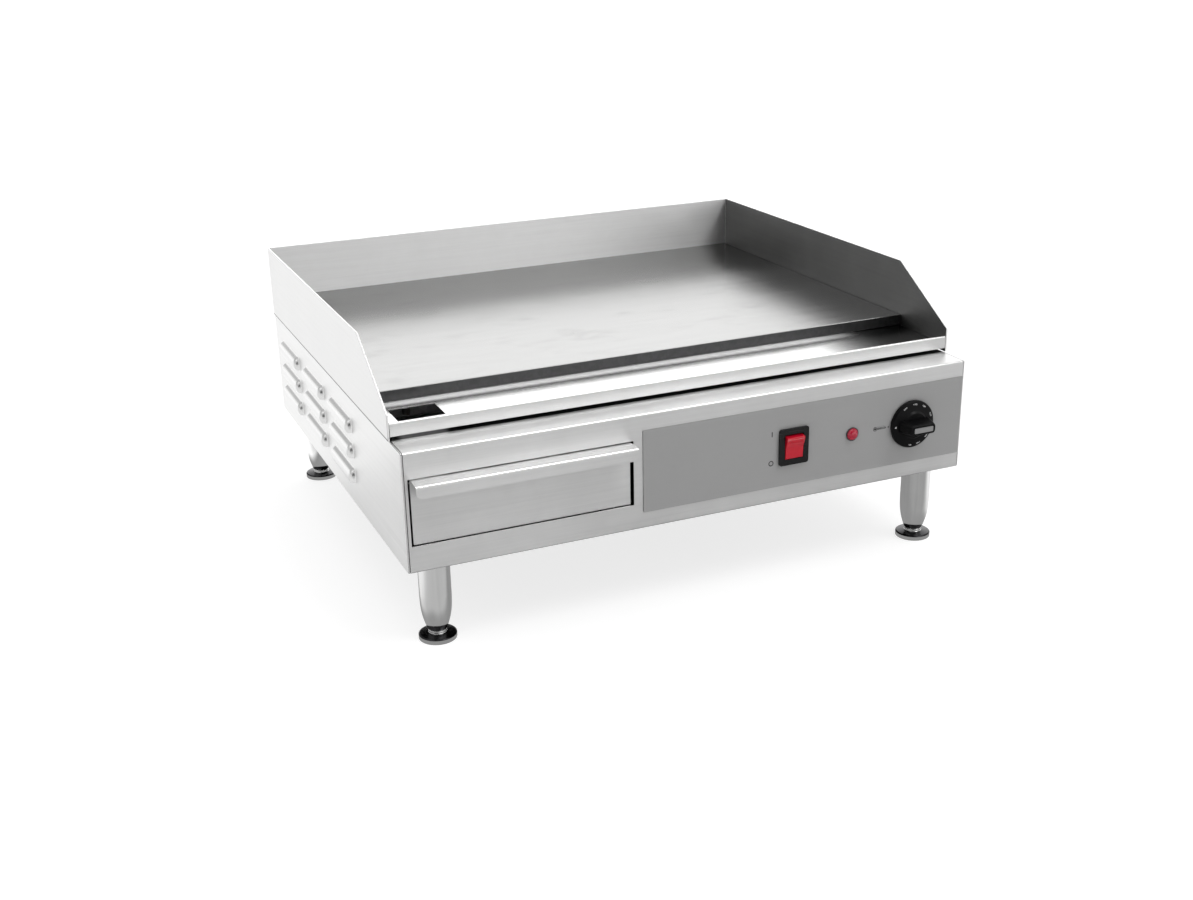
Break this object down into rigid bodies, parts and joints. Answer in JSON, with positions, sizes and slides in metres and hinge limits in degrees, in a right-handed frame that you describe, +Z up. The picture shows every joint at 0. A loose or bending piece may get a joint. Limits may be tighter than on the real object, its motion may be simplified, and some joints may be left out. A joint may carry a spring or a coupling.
{
  "type": "flat top griddle",
  "caption": "Countertop electric flat top griddle: steel plate in a three-sided splash guard, grease trough draining into a drawer, switch, lamp and thermostat knob, on adjustable legs.",
  "frame": {"origin": "on the bench, below the middle of the whole object's box", "axes": "+X to the cook's right (longest), +Y from the controls to the back, +Z up (shortest)"},
  "size_m": [0.6224, 0.5812, 0.283],
  "materials": {
    "stainless": "brushed grain along the sheet, satin",
    "plate_steel": "ground and polished, faint scratches and heat haze",
    "galvanised": "plain galvanised sheet, matt",
    "zinc": "bright zinc plated",
    "leg_steel": "polished tube",
    "foot_chrome": "bright chrome",
    "overlay_grey": "mid grey printed film, satin",
    "switch_black": "moulded black plastic",
    "rocker_red": "translucent red moulding",
    "lamp_red": "faceted red lens",
    "lamp_holder": "moulded plastic",
    "knob_black": "moulded black phenolic with white dial numbers",
    "knob_insert": "satin silver foil",
    "thermostat_case": "pressed case",
    "copper": "bare copper",
    "element_sheath": "oxidised sheath, matt",
    "insulation": "ceramic fibre blanket",
    "terminal_white": "ceramic white",
    "wire_black": "heat-proof sleeve",
    "wire_red": "heat-proof sleeve",
    "gland_black": "moulded nylon",
    "cord_black": "matt rubber jacket",
    "plug_black": "moulded rubber",
    "brass": "bright brass"
  },
  "bodies": {
    "cabinet": {"front_fascia": "stainless", "left_side_panel": "stainless", "right_side_panel": "stainless", "back_panel": "stainless", "splash_guard": "stainless", "grease_trough": "stainless", "griddle_plate": "plate_steel", "base_pan": "galvanised", "heat_shield_tray": "galvanised", "plate_support_left": "galvanised", "plate_support_right": "galvanised", "drawer_rail_left": "galvanised", "drawer_rail_right": "galvanised", "element_clamp_front": "galvanised", "element_clamp_back": "galvanised", "clamp_nut_1": "zinc", "clamp_nut_2": "zinc", "clamp_nut_3": "zinc", "clamp_nut_4": "zinc", "leg_nut_front_left": "zinc", "leg_nut_front_right": "zinc", "leg_nut_back_left": "zinc", "leg_nut_back_right": "zinc", "back_panel_screw_1": "zinc", "back_panel_screw_2": "zinc", "back_panel_screw_3": "zinc", "back_panel_screw_4": "zinc", "leg_front_left": "leg_steel", "leg_front_right": "leg_steel", "leg_back_left": "leg_steel", "leg_back_right": "leg_steel", "control_panel_overlay": "overlay_grey", "power_switch_housing": "switch_black", "indicator_lamp_lens": "lamp_red", "indicator_lamp_body": "lamp_holder", "thermostat_body": "thermostat_case", "thermostat_bulb_and_capillary": "copper", "heating_element_left": "element_sheath", "heating_element_right": "element_sheath", "insulation_blanket": "insulation", "terminal_block": "terminal_white", "wire_terminal_to_switch": "wire_black", "wire_switch_to_thermostat": "wire_red", "cord_strain_relief": "gland_black", "power_cord": "cord_black", "power_plug": "plug_black", "plug_blade_left": "brass", "plug_blade_right": "brass", "plug_ground_pin": "brass"},
    "drawer": {"grease_drawer_front": "stainless", "grease_drawer_tray": "stainless"},
    "knob": {"control_knob": "knob_black", "knob_grip_insert": "knob_insert", "thermostat_shaft": "zinc"},
    "rocker": {"power_switch_rocker": "rocker_red"},
    "foot_front_left": {"foot_front_left": "foot_chrome"},
    "foot_front_right": {"foot_front_right": "foot_chrome"},
    "foot_back_left": {"foot_back_left": "foot_chrome"},
    "foot_back_right": {"foot_back_right": "foot_chrome"}
  },
  "joints": [
    {"name": "drawer_slide", "type": "slide", "parent": "cabinet", "child": "drawer", "axis": [0, -1, 0], "range_m": [0, 0.3]},
    {"name": "knob_turn", "type": "hinge", "parent": "cabinet", "child": "knob", "pos_m": [0.24, -0.2676, 0.144], "axis": [0, 1, 0], "range_deg": [0, 300]},
    {"name": "power_switch_rock", "type": "hinge", "parent": "cabinet", "child": "rocker", "pos_m": [0.099, -0.2664, 0.143], "axis": [-1, 0, 0], "range_deg": [0, 20]},
    {"name": "foot_front_left_screw", "type": "slide", "parent": "cabinet", "child": "foot_front_left", "axis": [0, 0, -1], "range_m": [0, 0.015]},
    {"name": "foot_front_right_screw", "type": "slide", "parent": "cabinet", "child": "foot_front_right", "axis": [0, 0, -1], "range_m": [0, 0.015]},
    {"name": "foot_back_left_screw", "type": "slide", "parent": "cabinet", "child": "foot_back_left", "axis": [0, 0, -1], "range_m": [0, 0.015]},
    {"name": "foot_back_right_screw", "type": "slide", "parent": "cabinet", "child": "foot_back_right", "axis": [0, 0, -1], "range_m": [0, 0.015]}
  ]
}
